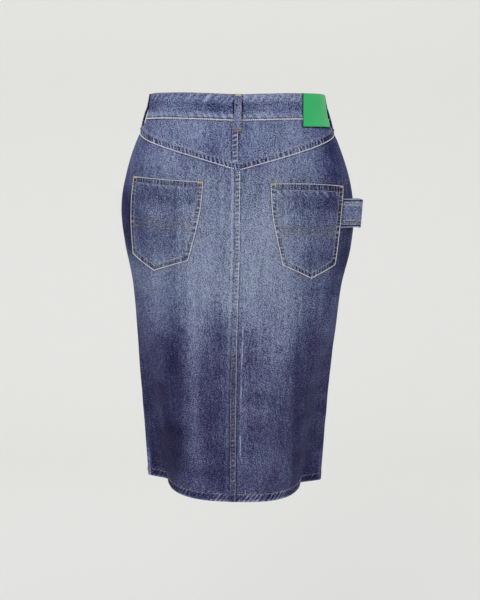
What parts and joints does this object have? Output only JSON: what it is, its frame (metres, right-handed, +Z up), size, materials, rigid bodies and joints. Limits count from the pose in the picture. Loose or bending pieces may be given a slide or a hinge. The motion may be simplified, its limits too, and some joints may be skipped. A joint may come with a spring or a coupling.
{
  "type": "denim midi skirt",
  "caption": "Straight denim midi skirt in its worn, hollow shape, with a yoke, patch pockets, belt loops, a leather waist patch and a hammer loop at one side.",
  "frame": {"origin": "the middle of the waist opening, level with the waistband's top edge at the centre back", "axes": "+Z up out of the waist, -Y to the skirt's back, +Y to its front, +X to the wearer's right"},
  "size_m": [0.4203, 0.289, 0.6959],
  "materials": {
    "washed_denim": "stiff indigo denim twill, stone washed to a mid blue",
    "dark_denim": "stiff indigo denim twill, faded at the hips and dark at the hem",
    "green_leather": "smooth, lightly glossy, plain",
    "zip_tape": "flat woven tape",
    "antiqued_button_metal": "antiqued, satin, plain"
  },
  "bodies": {
    "root": {"waistband": "washed_denim", "yoke_left": "washed_denim", "yoke_right": "washed_denim", "hammer_loop": "washed_denim", "back_left": "dark_denim", "back_right": "dark_denim", "front_left": "dark_denim", "front_right": "dark_denim", "pocket_left": "dark_denim", "pocket_right": "dark_denim", "belt_loop_back": "dark_denim", "belt_loop_side_left": "dark_denim", "belt_loop_side_right": "dark_denim", "belt_loop_front_left": "dark_denim", "belt_loop_front_right": "dark_denim", "leather_patch": "green_leather", "fly_zip": "zip_tape", "waist_button": "antiqued_button_metal"}
  },
  "joints": []
}
